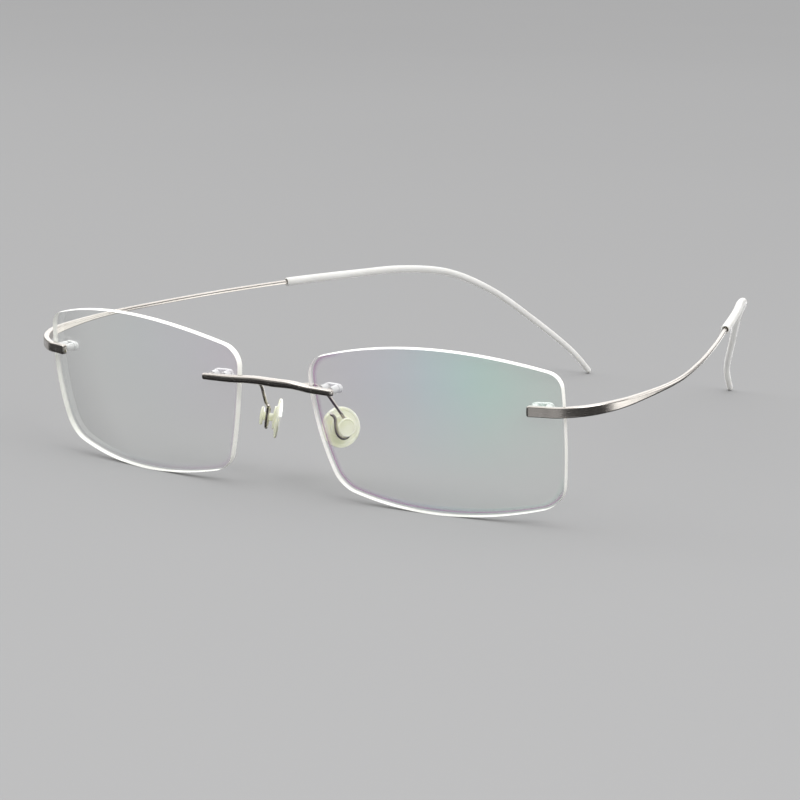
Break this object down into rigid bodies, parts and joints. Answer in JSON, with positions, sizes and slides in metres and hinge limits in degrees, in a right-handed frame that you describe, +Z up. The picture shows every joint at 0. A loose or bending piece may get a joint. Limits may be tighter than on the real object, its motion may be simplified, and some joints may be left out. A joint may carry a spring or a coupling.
{
  "type": "eyeglasses",
  "caption": "Rimless eyeglasses with drilled rectangular lenses, flexible hingeless metal temples with clear sleeved tips, and round nose pads on wire arms.",
  "frame": {"origin": "middle of the footprint at table level, under the glasses as they stand on the lenses and temple tips", "axes": "+Z up, the lenses face -Y and the temples run back along +Y, +X is the wearer's left"},
  "size_m": [0.1394, 0.1468, 0.0319],
  "materials": {
    "titanium": "satin",
    "lens": "clear with an anti-reflection coating",
    "bushing": "clear",
    "silicone": "milky, translucent",
    "pad": "milky, translucent, slightly green"
  },
  "bodies": {
    "front": {"bridge_bar": "titanium", "lens_left": "lens", "bridge_bushing_left": "bushing", "temple_bushing_left": "bushing", "temple_bar_left": "titanium", "pad_arm_left": "titanium", "lens_right": "lens", "bridge_bushing_right": "bushing", "temple_bushing_right": "bushing", "temple_bar_right": "titanium", "pad_arm_right": "titanium", "bridge_pin_left_1": "titanium", "bridge_pin_left_2": "titanium", "temple_pin_left_1": "titanium", "temple_pin_left_2": "titanium", "bridge_pin_right_1": "titanium", "bridge_pin_right_2": "titanium", "temple_pin_right_1": "titanium", "temple_pin_right_2": "titanium"},
    "temple_left": {"temple_arm_left": "titanium", "temple_tip_left": "silicone"},
    "temple_right": {"temple_arm_right": "titanium", "temple_tip_right": "silicone"},
    "pad_left": {"nose_pad_left": "pad"},
    "pad_right": {"nose_pad_right": "pad"}
  },
  "joints": [
    {"name": "temple_flex_left", "type": "hinge", "parent": "front", "child": "temple_left", "pos_m": [0.06909, -0.04196, 0.02414], "axis": [0, 0, -1], "range_deg": [-8, 30], "stiffness_Nm_per_rad": 0.35},
    {"name": "temple_flex_right", "type": "hinge", "parent": "front", "child": "temple_right", "pos_m": [-0.06909, -0.04196, 0.02414], "axis": [0, 0, 1], "range_deg": [-8, 30], "stiffness_Nm_per_rad": 0.35},
    {"name": "pad_rock_left", "type": "hinge", "parent": "front", "child": "pad_left", "pos_m": [0.00932, -0.06076, 0.01247], "axis": [-0.1321, 0.0811, 0.9879], "range_deg": [-7, 7]},
    {"name": "pad_rock_right", "type": "hinge", "parent": "front", "child": "pad_right", "pos_m": [-0.00932, -0.06076, 0.01247], "axis": [0.1321, 0.0811, 0.9879], "range_deg": [-7, 7]}
  ]
}
